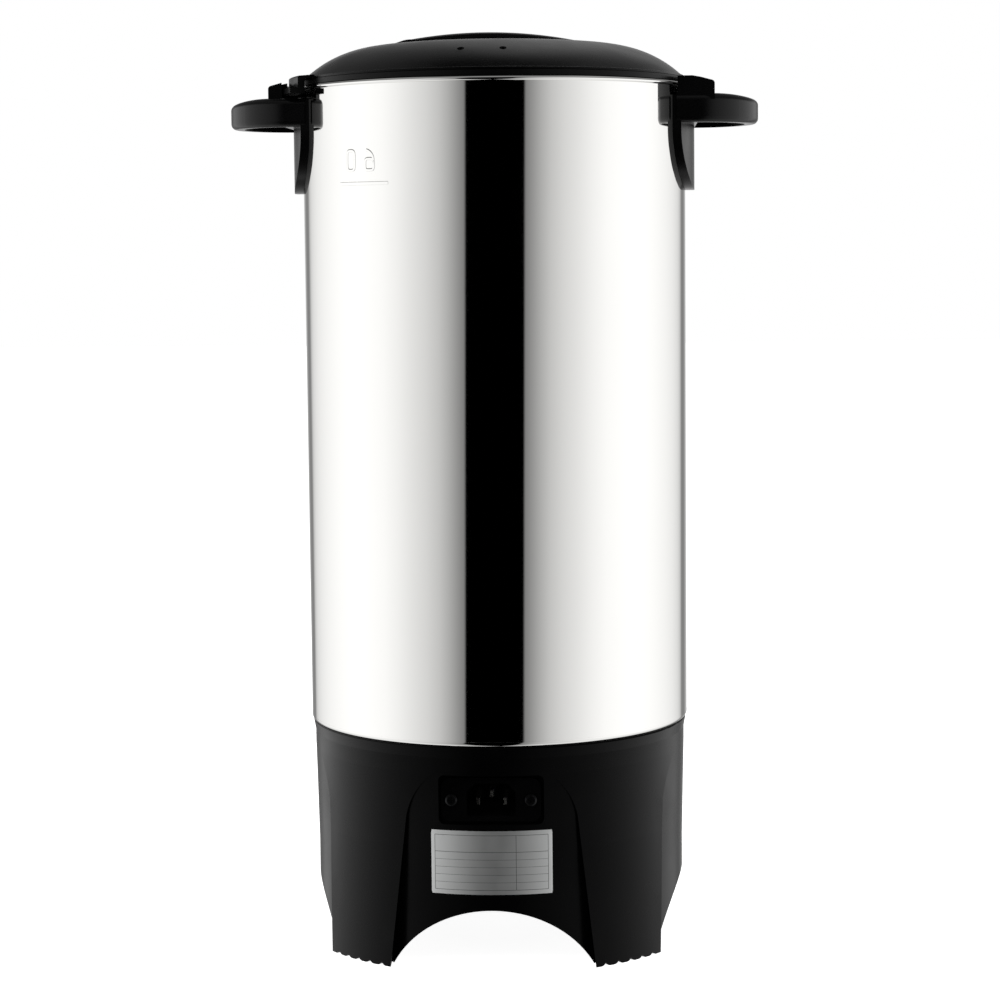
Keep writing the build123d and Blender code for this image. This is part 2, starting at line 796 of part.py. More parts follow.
def crown_at(radius):
    """Height of the lid's crown at a radius."""
    return lid_crown_height - crown_radius + math.sqrt(crown_radius**2 - radius**2)


def shoulder_point(depth, slope):
    """A point on the lid's shoulder, a depth under its outer surface, where it slopes by an angle."""
    angle = math.radians(slope)
    reach = shoulder_radius - depth
    return shoulder_centre[0] + reach * math.sin(angle), shoulder_centre[1] + reach * math.cos(angle)


with BuildPart() as lid:
    with BuildSketch(Plane.XZ):
        with BuildLine():
            Polyline(
                (0, well_floor_height),
                (well_floor_radius, well_floor_height),
                (well_top_radius - 1.5, crown_at(well_top_radius) - 1.5),
                (well_top_radius, crown_at(well_top_radius)),
                (shoulder_start, shoulder_start_height),
            )
            ThreePointArc(
                (shoulder_start, shoulder_start_height), shoulder_point(0, 24), shoulder_point(0, 43.2)
            )
            Polyline(
                shoulder_point(0, 43.2),
                (lid_radius, lid_edge_height + 1.0),
                (lid_radius, lid_edge_height),
                (lid_spigot_radius, lid_edge_height),
                (lid_spigot_radius, 437.5),
                (lid_spigot_radius - 2, 437.5),
                (lid_spigot_radius - 2, shoulder_point(lid_shell, 41.3)[1]),
                shoulder_point(lid_shell, 40),
            )
            ThreePointArc(
                shoulder_point(lid_shell, 40), shoulder_point(lid_shell, 24), shoulder_point(lid_shell, 4.1)
            )
            Polyline(
                shoulder_point(lid_shell, 4.1),
                (well_top_radius + 2.2, crown_at(well_top_radius) - lid_shell),
                (well_floor_radius + 1.6, well_floor_height - lid_shell),
                (0, well_floor_height - lid_shell),
                (0, well_floor_height),
            )
        make_face()
    revolve(axis=Axis.Z)
    # tabs that reach over the rim and hook under the roof of each handle's slot
    for side in (0, 180):
        with BuildSketch(radial_plane(side + lid_turn - tab_half_angle)) as tab_section:
            with BuildLine():
                Polyline(
                    (98.2, lid_edge_height + 0.05),
                    (103.4, lid_edge_height + 0.05),
                    (103.4, 441.6),
                    (111.2, 441.6),
                    (111.2, 444.4),
                    (107.1, 444.4),
                    (107.1, 450.4),
                    (98.2, 451.2),
                    close=True,
                )
            make_face()
            fillet(tab_section.vertices().sort_by_distance((107.1, 450.4))[0], 1)
        revolve(axis=Axis.Z, revolution_arc=2 * tab_half_angle)
    # steam vents and the holes for the grip's screws
    vent_circle = 84.5
    vent_headings = (-98.0, -83.8)
    with BuildSketch(Plane.XY.offset(430)):
        with Locations(*[at_polar(vent_circle, heading) for heading in vent_headings]):
            Circle(1.75)
        with PolarLocations(grip_screw_reach, 2, start_angle=lid_turn):
            Circle(2.45)
    extrude(amount=45, mode=Mode.SUBTRACT)
save(lid.part, "lid")

# ---- lid seal: soft ring that stays on the rim while the lid turns on it --------------------------------
with BuildPart() as lid_seal:
    with BuildSketch(Plane.XY.offset(rim_height + 0.3)):
        Circle(lid_radius + 0.4)
        Circle(lid_spigot_radius + 0.4, mode=Mode.SUBTRACT)
    extrude(amount=lid_edge_height - rim_height - 0.6)
save(lid_seal.part, "lid_seal")

# ---- lid grip: crowned bar across the finger well ---------------------------------------------------------
grip_length = 112.0
grip_half_width = 10.0
grip_peak = 473.8
grip_foot = 466.0
with BuildPart() as lid_grip:
    with BuildSketch(radial_plane(lid_turn)):
        with BuildLine():
            half = grip_length / 2
            shoulder = (half - 9, grip_peak - 4.4)
            ThreePointArc((-shoulder[0], shoulder[1]), (0, grip_peak), shoulder)
            ThreePointArc(shoulder, (half - 3, 467.9), (half, grip_foot))
            Polyline(
                (half, grip_foot),
                (46.5, grip_foot),
                (44, 465.6),
                (-44, 465.6),
                (-46.5, grip_foot),
                (-half, grip_foot),
            )
            ThreePointArc((-half, grip_foot), (-half + 3, 467.9), (-shoulder[0], shoulder[1]))
        make_face()
    extrude(amount=grip_half_width, both=True)
    fillet(lid_grip.edges().filter_by(lambda e: e.length > 60 and e.center().Z > 468), 4)
    add(lid.part, mode=Mode.SUBTRACT)
    # two bosses through the lid, drilled for the screws
    with BuildSketch(Plane.XY.offset(grip_boss_bottom)):
        with PolarLocations(grip_screw_reach, 2, start_angle=lid_turn):
            Circle(2.4)
    extrude(amount=3.2)
    with BuildSketch(Plane.XY.offset(grip_boss_bottom)):
        with PolarLocations(grip_screw_reach, 2, start_angle=lid_turn):
            Circle(1.35)
    extrude(amount=3.1, mode=Mode.SUBTRACT)
save(lid_grip.part, "lid_grip")

with BuildPart() as grip_screws:
    with BuildSketch(Plane.XY.offset(grip_boss_bottom - 2.2)):
        with PolarLocations(grip_screw_reach, 2, start_angle=lid_turn):
            Circle(3.4)
    extrude(amount=2.15)
    with BuildSketch(Plane.XY.offset(grip_boss_bottom - 1)):
        with PolarLocations(grip_screw_reach, 2, start_angle=lid_turn):
            Circle(1.3)
    extrude(amount=4)
save(grip_screws.part, "grip_screws")

# ---- percolator: pump tube, bell foot, valve washer, basket and its cover --------------------------------
collar_top = basket_floor - 0.3
with BuildPart() as pump_tube:
    with BuildSketch(Plane.XY.offset(101.5)):
        Circle(tube_radius)
        Circle(tube_radius - 0.8, mode=Mode.SUBTRACT)
    extrude(amount=tube_top - 101.5)
    with BuildSketch(Plane.XY.offset(collar_top - 3)):
        Circle(9.5)
        Circle(tube_radius - 0.4, mode=Mode.SUBTRACT)
    extrude(amount=3)
save(pump_tube.part, "pump_tube")

with BuildPart() as pump_foot:
    foot_floor = well_height + vessel_wall + 0.3
    with BuildSketch(Plane.XZ):
        with BuildLine():
            Polyline(
                (tube_radius + 0.02, 112),
                (tube_radius + 1.2, 112),
                (tube_radius + 1.6, 108),
                (26.5, foot_floor + 2),
                (26.5, foot_floor),
                (25.5, foot_floor),
                (25.5, foot_floor + 1.4),
                (tube_radius + 0.02, 105.6),
                close=True,
            )
        make_face()
    revolve(axis=Axis.Z)
    # water inlets round the foot
    with BuildSketch(Plane.XY.offset(foot_floor - 1)):
        with PolarLocations(26, 6):
            Rectangle(5, 6)
    extrude(amount=2.4, mode=Mode.SUBTRACT)
save(pump_foot.part, "pump_foot")

with BuildPart() as valve_washer:
    with BuildSketch(Plane.XY.offset(foot_floor + 0.1)):
        Circle(10)
    extrude(amount=0.8)
save(valve_washer.part, "valve_washer")

with BuildPart() as basket:
    with BuildSketch(Plane.XZ):
        with BuildLine():
            Polyline(
                (tube_radius + 0.65, basket_floor),
                (basket_radius - 3, basket_floor),
                (basket_radius, basket_floor + 3),
                (basket_radius, basket_rim - 0.8),
                (basket_radius + 3, basket_rim - 0.8),
                (basket_radius + 3, basket_rim),
                (basket_radius - 0.8, basket_rim),
                (basket_radius - 0.8, basket_floor + 3.3),
                (basket_radius - 3.3, basket_floor + 0.8),
                (tube_radius + 1.45, basket_floor + 0.8),
                (tube_radius + 1.45, basket_floor + 22),
                (tube_radius + 0.65, basket_floor + 22),
                close=True,
            )
        make_face()
    revolve(axis=Axis.Z)
    with BuildSketch(Plane.XY.offset(basket_floor - 1)):
        for circle, count in ((24, 6), (42, 10), (60, 14)):
            with PolarLocations(circle, count):
                Circle(1.4)
    extrude(amount=4, mode=Mode.SUBTRACT)
save(basket.part, "basket")

with BuildPart() as basket_cover:
    cover_under = basket_rim + 0.3
    with BuildSketch(Plane.XZ):
        with BuildLine():
            Polyline(
                (tube_radius + 0.65, cover_under + 2),
                (14, cover_under + 2),
                (17, cover_under),
                (basket_radius + 2.5, cover_under),
                (basket_radius + 2.5, cover_under + 2.4),
                (basket_radius + 1.7, cover_under + 2.4),
                (basket_radius + 1.7, cover_under + 0.8),
                (17.3, cover_under + 0.8),
                (14.3, cover_under + 2.8),
                (tube_radius + 0.65, cover_under + 2.8),
                close=True,
            )
        make_face()
    revolve(axis=Axis.Z)
    with BuildSketch(Plane.XY.offset(cover_under - 1)):
        for circle, count in ((30, 6), (58, 12)):
            with PolarLocations(circle, count):
                Circle(1.4)
    extrude(amount=4, mode=Mode.SUBTRACT)
save(basket_cover.part, "basket_cover")

# ---- tap body: shank through the vessel, valve barrel with spout, socket for the gauge tube --------------
flange_back = 102.6
flange_front = flange_back + 3
barrel_radius = 13.0
chamber_radius = 10.0
outlet_radius = 6.0
spout_bottom = 112.0
seat_height = 133.0
barrel_top = 158.0
pivot_y = tap_axis_y + 8
pivot_height = 169.0
ear_radius = 3.6
pin_radius = 1.5
stem_radius = 2.4
stem_hole_radius = stem_radius + 0.08
with BuildPart() as tap_body:
    with BuildSketch(front.offset(82)):
        with Locations((0, tap_height)):
            Circle(8)
    extrude(amount=flange_back - 82)
    with BuildSketch(front.offset(flange_back)):
        with Locations((0, tap_height)):
            Circle(14)
    extrude(amount=3)
    with BuildSketch(front.offset(flange_front)):
        with Locations((0, tap_height)):
            Circle(9.5)
    extrude(amount=tap_axis_y - flange_front)
    with BuildSketch(Plane.XY.offset(tap_height)):
        with Locations((0, gauge_axis_y)):
            Circle(9.5)
    extrude(amount=20)
    with BuildSketch(upright_plane(tap_axis_y)):
        with BuildLine():
            Polyline(
                (0, spout_bottom),
                (8, spout_bottom),
                (8.4, 124),
                (barrel_radius, 131),
                (barrel_radius, 148),
                (12, 148),
                (12, barrel_top),
                (0, barrel_top),
                close=True,
            )
        make_face()
    revolve(axis=upright_axis(tap_axis_y))
    # water way: shank, valve chamber, seat, outlet
    with BuildSketch(front.offset(80)):
        with Locations((0, tap_height)):
            Circle(5.5)
    extrude(amount=tap_axis_y - 80, mode=Mode.SUBTRACT)
    with BuildSketch(upright_plane(tap_axis_y)):
        with BuildLine():
            Polyline(
                (0, spout_bottom - 1),
                (outlet_radius, spout_bottom - 1),
                (outlet_radius, seat_height),
                (7.2, seat_height),
                (7.6, seat_height - 1.4),
                (chamber_radius, seat_height - 1.4),
                (chamber_radius, barrel_top + 1),
                (0, barrel_top + 1),
                close=True,
            )
        make_face()
    revolve(axis=upright_axis(tap_axis_y), mode=Mode.SUBTRACT)
    # gauge socket: passage, tube seat, seal pocket
    socket_steps = ((3.5, tap_height, 146), (gauge_tube_radius + 0.05, 146, 153), (8, 152, 160))
    for radius, low, high in socket_steps:
        with BuildSketch(Plane.XY.offset(low)):
            with Locations((0, gauge_axis_y)):
                Circle(radius)
        extrude(amount=high - low, mode=Mode.SUBTRACT)
save(tap_body.part, "tap_body")

with BuildPart() as tap_gaskets:
    # outside the wall, then inside it
    with BuildSketch(front.offset(96)):
        with Locations((0, tap_height)):
            Circle(13.5)
            Circle(8.2, mode=Mode.SUBTRACT)
    extrude(amount=flange_back - 96.02)
    with BuildSketch(Plane.XY.offset(tap_height - 20)):
        Circle(vessel_radius + 0.03)
        Circle(vessel_bore - 0.03, mode=Mode.SUBTRACT)
    extrude(amount=40, mode=Mode.SUBTRACT)
save(tap_gaskets.part, "tap_gaskets")

with BuildPart() as tap_nut:
    with BuildSketch(front.offset(88)):
        with Locations((0, tap_height)):
            RegularPolygon(13.9, 6)
            Circle(8.05, mode=Mode.SUBTRACT)
    extrude(amount=7.95)
save(tap_nut.part, "tap_nut")

with BuildPart() as tap_bonnet:
    with BuildSketch(upright_plane(tap_axis_y)):
        with BuildLine():
            Polyline(
                (12.05, 149),
                (14.6, 149),
                (14.6, 160.3),
                (13.4, 161.5),
                (stem_hole_radius, 161.5),
                (stem_hole_radius, barrel_top + 0.1),
                (12.05, barrel_top + 0.1),
                close=True,
            )
        make_face()
    revolve(axis=upright_axis(tap_axis_y))
    # grip flutes
    with BuildSketch(Plane.XY.offset(148)):
        with Locations((0, tap_axis_y)):
            with PolarLocations(15.3, 16):
                Circle(1.3)
    extrude(amount=12, mode=Mode.SUBTRACT)
    # ears that hold the lever's pin
    with BuildSketch(right_side.offset(-9)) as ear_side:
        with BuildLine():
            ear_back = pivot_y - ear_radius
            ear_front = pivot_y + ear_radius
            Polyline((ear_back, 161), (ear_front, 161), (ear_front, pivot_height))
            ear_top = (pivot_y, pivot_height + ear_radius)
            ThreePointArc((ear_front, pivot_height), ear_top, (ear_back, pivot_height))
            Line((ear_back, pivot_height), (ear_back, 161))
        make_face()
        with Locations((pivot_y, pivot_height)):
            Circle(pin_radius + 0.02, mode=Mode.SUBTRACT)
    extrude(amount=2.4)
    mirror(about=Plane.YZ)
save(tap_bonnet.part, "tap_bonnet")

# ---- tap lever, its pin, and the stem that it lifts ----------------------------------------------------
fork_tip_y = pivot_y - 10.5
fork_bottom = pivot_height - 1.6
fork_top = pivot_height + 1.6
lever_top = 216.0
with BuildPart() as tap_lever:
    # side profile of hub and paddle, cut to the paddle's front outline
    with BuildSketch(right_side.offset(-12)):
        with BuildLine():
            Polyline((pivot_y - 1.6, pivot_height + 2), (pivot_y - 0.6, 190), (pivot_y + 1.4, lever_top))
            ThreePointArc(
                (pivot_y + 1.4, lever_top), (pivot_y + 3.7, lever_top + 1.6), (pivot_y + 5.8, lever_top - 0.4)
            )
            Polyline(
                (pivot_y + 5.8, lever_top - 0.4),
                (pivot_y + 5.0, 190),
                (pivot_y + 3.4, pivot_height),
                (pivot_y - 1.6, pivot_height + 2),
            )
        make_face()
    extrude(amount=24)
    with BuildSketch(front.offset(pivot_y - 12)) as paddle_outline:
        with BuildLine():
            Polyline(
                (-6.1, pivot_height - 2),
                (6.1, pivot_height - 2),
                (6.1, 178),
                (10.5, 200),
                (10.5, lever_top + 3),
                (-10.5, lever_top + 3),
                (-10.5, 200),
                (-6.1, 178),
                close=True,
            )
        make_face()
        fillet(paddle_outline.vertices().group_by(Axis.Y)[-1], 7)
    extrude(amount=30, mode=Mode.INTERSECT)
    with BuildSketch(right_side.offset(-6.1)):
        with Locations((pivot_y, pivot_height)):
            Circle(ear_radius)
    extrude(amount=12.2)
    # fork under the stem's collar
    with BuildSketch(Plane.XY.offset(fork_bottom)):
        with Locations((0, (fork_tip_y + pivot_y) / 2)):
            Rectangle(12.2, pivot_y - fork_tip_y)
        with Locations((0, fork_tip_y + 2)):
            Rectangle(2 * stem_radius + 1, 10, mode=Mode.SUBTRACT)
    extrude(amount=fork_top - fork_bottom)
    with BuildSketch(right_side.offset(-13)):
        with Locations((pivot_y, pivot_height)):
            Circle(pin_radius + 0.06)
    extrude(amount=26, mode=Mode.SUBTRACT)
save(tap_lever.part, "tap_lever")

with BuildPart() as lever_pin:
    with BuildSketch(right_side.offset(-9.6)):
        with Locations((pivot_y, pivot_height)):
            Circle(pin_radius)
    extrude(amount=19.2)
save(lever_pin.part, "lever_pin")

with BuildPart() as tap_stem:
    with BuildSketch(upright_plane(tap_axis_y)):
        with BuildLine():
            Polyline(
                (0, seat_height + 2.3),
                (stem_radius, seat_height + 2.3),
                (stem_radius, 171),
                (4.6, 171),
                (4.6, 173.6),
                (stem_radius, 173.6),
                (stem_radius, 176),
                (0, 176),
                close=True,
            )
        make_face()
    revolve(axis=upright_axis(tap_axis_y))
save(tap_stem.part, "tap_stem")

with BuildPart() as seat_cup:
    cup_bottom = seat_height + 0.3
    with BuildSketch(upright_plane(tap_axis_y)):
        with BuildLine():
            Polyline(
                (0, cup_bottom),
                (8.6, cup_bottom),
                (8.6, cup_bottom + 1.2),
                (5.5, cup_bottom + 4),
                (5.5, cup_bottom + 9),
                (stem_radius + 0.02, cup_bottom + 9),
                (stem_radius + 0.02, cup_bottom + 1.98),
                (0, cup_bottom + 1.98),
                close=True,
            )
        make_face()
    revolve(axis=upright_axis(tap_axis_y))
save(seat_cup.part, "seat_cup")

spring_foot = cup_bottom + 9.8
with BuildPart() as tap_spring:
    with BuildLine() as coil:
        Helix(pitch=3.5, height=14.1, radius=4.4, center=(0, tap_axis_y, spring_foot))
    with BuildSketch(Plane(origin=coil.line @ 0, z_dir=coil.line % 0)):
        RegularPolygon(0.5, 8)
    sweep()
save(tap_spring.part, "tap_spring")

# ---- sight gauge: tube, seal, nut, guard and top cap ------------------------------------------------------
guard_low = 162.0
guard_high = 400.0
cap_low = 396.0
cap_high = 418.0
with BuildPart() as gauge_tube:
    with BuildSketch(Plane.XY.offset(146.2)):
        with Locations((0, gauge_axis_y)):
            Circle(gauge_tube_radius)
            Circle(4.5, mode=Mode.SUBTRACT)
    extrude(amount=gauge_tube_top - 146.2)
save(gauge_tube.part, "gauge_tube")

with BuildPart() as gauge_seal:
    with BuildSketch(Plane.XY.offset(153.1)):
        with Locations((0, gauge_axis_y)):
            Circle(7.95)
            Circle(gauge_tube_radius + 0.02, mode=Mode.SUBTRACT)
    extrude(amount=4.5)
save(gauge_seal.part, "gauge_seal")

with BuildPart() as gauge_nut:
    with BuildSketch(upright_plane(gauge_axis_y)):
        with BuildLine():
            Polyline(
                (9.55, 149.5),
                (11.2, 149.5),
                (11.2, 159.6),
                (10.4, 160.4),
                (gauge_tube_radius + 0.2, 160.4),
                (gauge_tube_radius + 0.2, 158.1),
                (9.55, 158.1),
                close=True,
            )
        make_face()
    revolve(axis=upright_axis(gauge_axis_y))
    with BuildSketch(Plane.XY.offset(149)):
        with Locations((0, gauge_axis_y)):
            with PolarLocations(11.8, 14):
                Circle(1.0)
    extrude(amount=9.5, mode=Mode.SUBTRACT)
save(gauge_nut.part, "gauge_nut")

with BuildPart() as gauge_guard:
    # channel, open to the front
    with BuildSketch(Plane.XY.offset(guard_low)) as channel:
        with Locations((0, 114.5)):
            Rectangle(22, 21)
        with Locations((0, 117.5)):
            Rectangle(18.4, 24.2, mode=Mode.SUBTRACT)
        fillet(channel.vertices().group_by(Axis.Y)[0], 1.2)
    extrude(amount=guard_high - guard_low)
    # tongue that stands on the tap's flange
    with BuildSketch(Plane.XY.offset(tap_height + 14.02)):
        with Locations((0, 104.7)):
            Rectangle(9, 1.4)
    extrude(amount=guard_low - tap_height - 10)
save(gauge_guard.part, "gauge_guard")

with BuildPart() as gauge_cap:
    with BuildSketch(Plane.XY.offset(cap_low)) as cap_plan:
        with Locations((0, 113)):
            Rectangle(27, 32)
        fillet(cap_plan.vertices().group_by(Axis.Y)[-1], 9)
    extrude(amount=cap_high - cap_low)
    fillet(gauge_cap.edges().group_by(Axis.Z)[-1].filter_by(lambda e: e.center().Y > 100), 3)
    with BuildSketch(Plane.XY.offset(cap_low - 1)):
        Circle(vessel_radius + 0.05)
    extrude(amount=30, mode=Mode.SUBTRACT)
    with BuildSketch(Plane.XY.offset(cap_low - 1)):
        with Locations((0, 114.5)):
            Rectangle(22.2, 21.2)
    extrude(amount=guard_high - cap_low + 1.05, mode=Mode.SUBTRACT)
    # the tube's socket and a vent above it
    cap_bores = ((gauge_tube_radius + 0.1, cap_low, gauge_tube_top + 0.5), (1.0, cap_low, cap_high + 1))
    for radius, low, high in cap_bores:
        with BuildSketch(Plane.XY.offset(low)):
            with Locations((0, gauge_axis_y)):
                Circle(radius)
        extrude(amount=high - low, mode=Mode.SUBTRACT)
    with BuildSketch(front.offset(95)):
        with Locations((0, gauge_stud_height)):
            Circle(1.95)
    extrude(amount=15, mode=Mode.SUBTRACT)
save(gauge_cap.part, "gauge_cap")

with BuildPart() as gauge_screw:
    with BuildSketch(front.offset(96)):
        with Locations((0, gauge_stud_height)):
            Circle(4)
    extrude(amount=2.6)
    with BuildSketch(front.offset(98)):
        with Locations((0, gauge_stud_height)):
            Circle(1.9)
    extrude(amount=11.6)
save(gauge_screw.part, "gauge_screw")

# ---- wiring between the inlet, the switch, the lamp and the heaters ----------------------------------------
wire_floor = 52.0
blade_tail = -61.5
switch_tail = panel_flat_y - 22.5
inlet_to_switch = (
    (-7, blade_tail, 85),
    (-7, -48, 85),
    (-20, -38, wire_floor),
    (-20, 36, wire_floor),
    (-11, 54, 75),
    (-11, switch_tail, 75),
)
switch_to_heater = (
    (-11, switch_tail, 85),
    (-11, 56, 85),
    (-4, 40, 60),
    (16, 26, wire_floor),
    (16, 8, 58),
    (16, 8, 71.5),
)
inlet_to_heater = (
    (7, blade_tail, 85),
    (7, -48, 85),
    (24, -38, wire_floor),
    (24, -16, wire_floor),
    (16, -8, 60),
    (16, -8, 71.5),
)
with BuildPart() as wiring:
    for route in (inlet_to_switch, switch_to_heater, inlet_to_heater):
        with BuildLine() as wire_line:
            FilletPolyline(*route, radius=6)
        with BuildSketch(Plane(origin=wire_line.line @ 0, z_dir=wire_line.line % 0)):
            RegularPolygon(1.2, 8)
        sweep(path=wire_line.line)
save(wiring.part, "wiring")
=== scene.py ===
"""Looks of the coffee urn: finishes, rating label, level marks, steel skins, tap spring, and the studio."""
import json
import math

import bmesh
import bpy
from mathutils import Matrix, Vector


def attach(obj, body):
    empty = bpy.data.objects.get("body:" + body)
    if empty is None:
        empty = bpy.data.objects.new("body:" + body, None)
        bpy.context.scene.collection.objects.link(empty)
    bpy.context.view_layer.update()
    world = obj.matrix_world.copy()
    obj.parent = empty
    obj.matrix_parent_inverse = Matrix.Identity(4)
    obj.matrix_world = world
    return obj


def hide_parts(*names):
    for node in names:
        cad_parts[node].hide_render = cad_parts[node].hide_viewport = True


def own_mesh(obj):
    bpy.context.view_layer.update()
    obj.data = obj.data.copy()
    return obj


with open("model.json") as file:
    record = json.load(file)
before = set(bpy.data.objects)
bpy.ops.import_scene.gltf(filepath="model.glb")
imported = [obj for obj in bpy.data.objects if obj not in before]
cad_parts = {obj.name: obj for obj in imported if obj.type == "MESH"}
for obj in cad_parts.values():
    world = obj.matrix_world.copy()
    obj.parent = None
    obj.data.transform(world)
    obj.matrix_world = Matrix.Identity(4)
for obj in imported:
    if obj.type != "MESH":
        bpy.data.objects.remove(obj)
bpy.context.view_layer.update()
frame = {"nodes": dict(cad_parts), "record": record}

# pieces are measured in millimetres, and MM turns those into the frame's metres
MM = 0.001
VESSEL_RADIUS = 100.0
# the camera's way round from straight behind the urn, towards +X
VIEW_AZIMUTH = math.radians(2.9)


# ---- shader helpers ------------------------------------------------------------------------------
class Nodes:
    """A short way to add linked nodes to a node tree."""

    def __init__(self, tree):
        self.tree = tree
        tree.nodes.clear()

    def add(self, kind, inputs=None, **settings):
        node = self.tree.nodes.new("ShaderNode" + kind)
        for name, value in settings.items():
            setattr(node, name, value)
        for name, value in (inputs or {}).items():
            socket = node.inputs[name]
            if isinstance(value, bpy.types.NodeSocket):
                self.tree.links.new(value, socket)
            else:
                socket.default_value = value
        return node

    def math(self, operation, first, second=0.0, third=0.0):
        return self.add("Math", {0: first, 1: second, 2: third}, operation=operation).outputs[0]

    def ramp(self, factor, stops):
        """stops is a list of (place, grey or colour)."""
        node = self.add("ValToRGB", {"Fac": factor})
        ramp = node.color_ramp
        while len(ramp.elements) < len(stops):
            ramp.elements.new(1.0)
        for element, (place, colour) in zip(ramp.elements, stops):
            element.position = place
            element.color = grey(colour) if isinstance(colour, (int, float)) else (*colour, 1)
        return node.outputs["Color"]

    def place(self):
        """The shaded point in the object's own metres."""
        return self.add("TexCoord").outputs["Object"]

    def noise(self, scale, detail, stretch=(1, 1, 1)):
        """Noise in the object's own metres, squeezed by a factor on each axis."""
        mapped = self.add("Mapping", {"Vector": self.place(), "Scale": stretch}).outputs[0]
        return self.add("TexNoise", {"Vector": mapped, "Scale": scale, "Detail": detail}).outputs["Fac"]

    def bump(self, height, strength, distance):
        """A normal that follows height, which is distance deep in metres at full strength."""
        inputs = {"Height": height, "Strength": strength, "Distance": distance}
        return self.add("Bump", inputs).outputs[0]

    def mix(self, factor, first, second):
        return self.add("MixRGB", {"Fac": factor, "Color1": first, "Color2": second}).outputs[0]


def grey(value):
    return (value, value, value, 1)


def scaled(colour, factor):
    return [min(1.0, part * factor) for part in colour]


def material(name, build):
    """A material whose surface is what build(nodes) returns."""
    made = bpy.data.materials.new(name)
    made.use_nodes = True
    nodes = Nodes(made.node_tree)
    nodes.add("OutputMaterial", {"Surface": build(nodes).outputs[0]})
    return made


def plastic(name, colour, roughness, grain=0.5, tone=0.3, facing=1.0):
    """Moulded plastic: fine spark grain, slow changes of gloss, faint flow in its colour.

    tone is how far the flow changes the colour. facing scales the gloss seen square on, and leaves the
    gloss at a glancing view as it is.
    """

    def build(nodes):
        flow = nodes.noise(scale=22, detail=3)
        shade = nodes.ramp(flow, [(0.35, scaled(colour, 1 - tone)), (0.65, scaled(colour, 1 + tone))])
        wear = nodes.noise(scale=60, detail=3)
        gloss = nodes.ramp(wear, [(0.3, roughness * 0.88), (0.7, roughness * 1.12)])
        relief = nodes.bump(nodes.noise(scale=2600, detail=2), strength=grain, distance=0.02 * MM)
        return nodes.add(
            "BsdfPrincipled",
            {"Base Color": shade, "Roughness": gloss, "Normal": relief, "Specular Tint": grey(facing)},
        )

    return material(name, build)


def polished_steel(name, colour, roughness):
    """Mirror-polished sheet: hairlines round the axis and a slow unevenness of polish."""

    def build(nodes):
        hairlines = nodes.noise(scale=1.0, detail=2, stretch=(60, 60, 9000))
        cloud = nodes.noise(scale=9, detail=3)
        unevenness = nodes.mix(0.35, cloud, hairlines)
        gloss = nodes.ramp(unevenness, [(0.3, roughness * 0.7), (0.75, roughness * 1.4)])
        shade = nodes.ramp(cloud, [(0.3, scaled(colour, 0.985)), (0.7, colour)])
        relief = nodes.bump(hairlines, strength=0.02, distance=0.01 * MM)
        return nodes.add(
            "BsdfPrincipled", {"Base Color": shade, "Metallic": 1.0, "Roughness": gloss, "Normal": relief}
        )

    return material(name, build)


def sheet_metal(name, colour, roughness, lines=(40, 40, 2500), marks=0.15):
    """Satin metal with turning or rolling lines, dulled in patches by marks."""

    def build(nodes):
        turned = nodes.noise(scale=1.0, detail=2, stretch=lines)
        patches = nodes.noise(scale=45, detail=4)
        shade = nodes.ramp(patches, [(0.3, scaled(colour, 1 - marks)), (0.7, colour)])
        gloss = nodes.ramp(patches, [(0.3, roughness * 1.25), (0.7, roughness * 0.8)])
        relief = nodes.bump(turned, strength=0.25, distance=0.03 * MM)
        return nodes.add(
            "BsdfPrincipled", {"Base Color": shade, "Metallic": 1.0, "Roughness": gloss, "Normal": relief}
        )

    return material(name, build)


def rubber(name, colour, roughness, facing):
    """Soft rubber with a fine surface. facing is as in plastic."""

    def build(nodes):
        shade = nodes.ramp(nodes.noise(scale=80, detail=3), [(0.3, scaled(colour, 0.85)), (0.7, colour)])
        relief = nodes.bump(nodes.noise(scale=1800, detail=2), strength=0.4, distance=0.03 * MM)
        return nodes.add(
            "BsdfPrincipled",
            {"Base Color": shade, "Roughness": roughness, "Normal": relief, "Specular Tint": grey(facing)},
        )

    return material(name, build)


def woven(name, colour):
    """Glass-fibre sleeving: a fine cellular weave."""

    def build(nodes):
        weave = nodes.add("TexVoronoi", {"Vector": nodes.place(), "Scale": 1400.0}).outputs["Distance"]
        shade = nodes.ramp(weave, [(0.1, colour), (0.8, scaled(colour, 0.6))])
        relief = nodes.bump(weave, strength=0.6, distance=0.1 * MM)
        return nodes.add("BsdfPrincipled", {"Base Color": shade, "Roughness": 0.85, "Normal": relief})

    return material(name, build)


def clear_plastic(name, colour):
    """Clear tube with a slight unevenness of polish."""

    def build(nodes):
        gloss = nodes.ramp(nodes.noise(scale=30, detail=2), [(0.3, 0.02), (0.7, 0.07)])
        return nodes.add(
            "BsdfPrincipled",
            {"Base Color": (*colour, 1), "Roughness": gloss, "IOR": 1.49, "Transmission Weight": 1.0},
        )

    return material(name, build)


# ---- finishes of the record's slots, and of the blackened inlet screws ---------------------------
BLACK = (0.0015, 0.0015, 0.0016)
BASE_BLACK = (0.0012, 0.0012, 0.0013)
